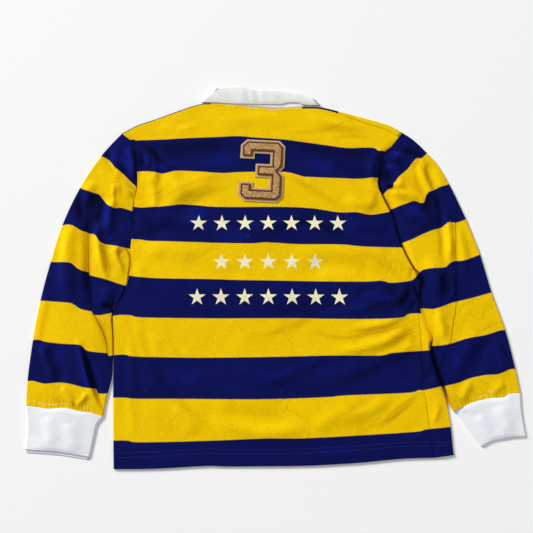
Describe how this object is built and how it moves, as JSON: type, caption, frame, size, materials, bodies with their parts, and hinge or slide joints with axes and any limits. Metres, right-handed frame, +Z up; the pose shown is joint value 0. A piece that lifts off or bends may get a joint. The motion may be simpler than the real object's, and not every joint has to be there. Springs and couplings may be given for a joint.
{
  "type": "rugby shirt",
  "caption": "Long-sleeved rugby shirt with broad hoops, a white collar and cuffs and a raised numeral, laid flat on its front with the back up.",
  "frame": {"origin": "on the surface that the shirt lies on, under the middle of its outline", "axes": "+Z up out of the surface and the shirt's back, +Y towards the collar, +X towards the sleeve on the viewer's right"},
  "size_m": [0.9372, 0.7665, 0.0118],
  "materials": {
    "hooped_jersey": "heavy cotton jersey in yellow and navy hoops, matt",
    "collar_twill": "white cotton twill, matt",
    "cuff_rib": "white fine rib knit, matt",
    "button_rubber": "white rubber, satin",
    "tan_felt": "tan wool felt, matt",
    "tan_chenille": "tan looped chenille pile, matt"
  },
  "bodies": {
    "root": {"front_panel": "hooped_jersey", "back_panel": "hooped_jersey", "sleeve_left": "hooped_jersey", "sleeve_right": "hooped_jersey", "cuff_left": "cuff_rib", "cuff_right": "cuff_rib", "collar_stand": "collar_twill", "collar_leaf": "collar_twill", "placket_upper": "collar_twill", "placket_under": "collar_twill", "button_1": "button_rubber", "button_2": "button_rubber", "button_3": "button_rubber", "patch_felt": "tan_felt", "patch_chenille": "tan_chenille"}
  },
  "joints": []
}
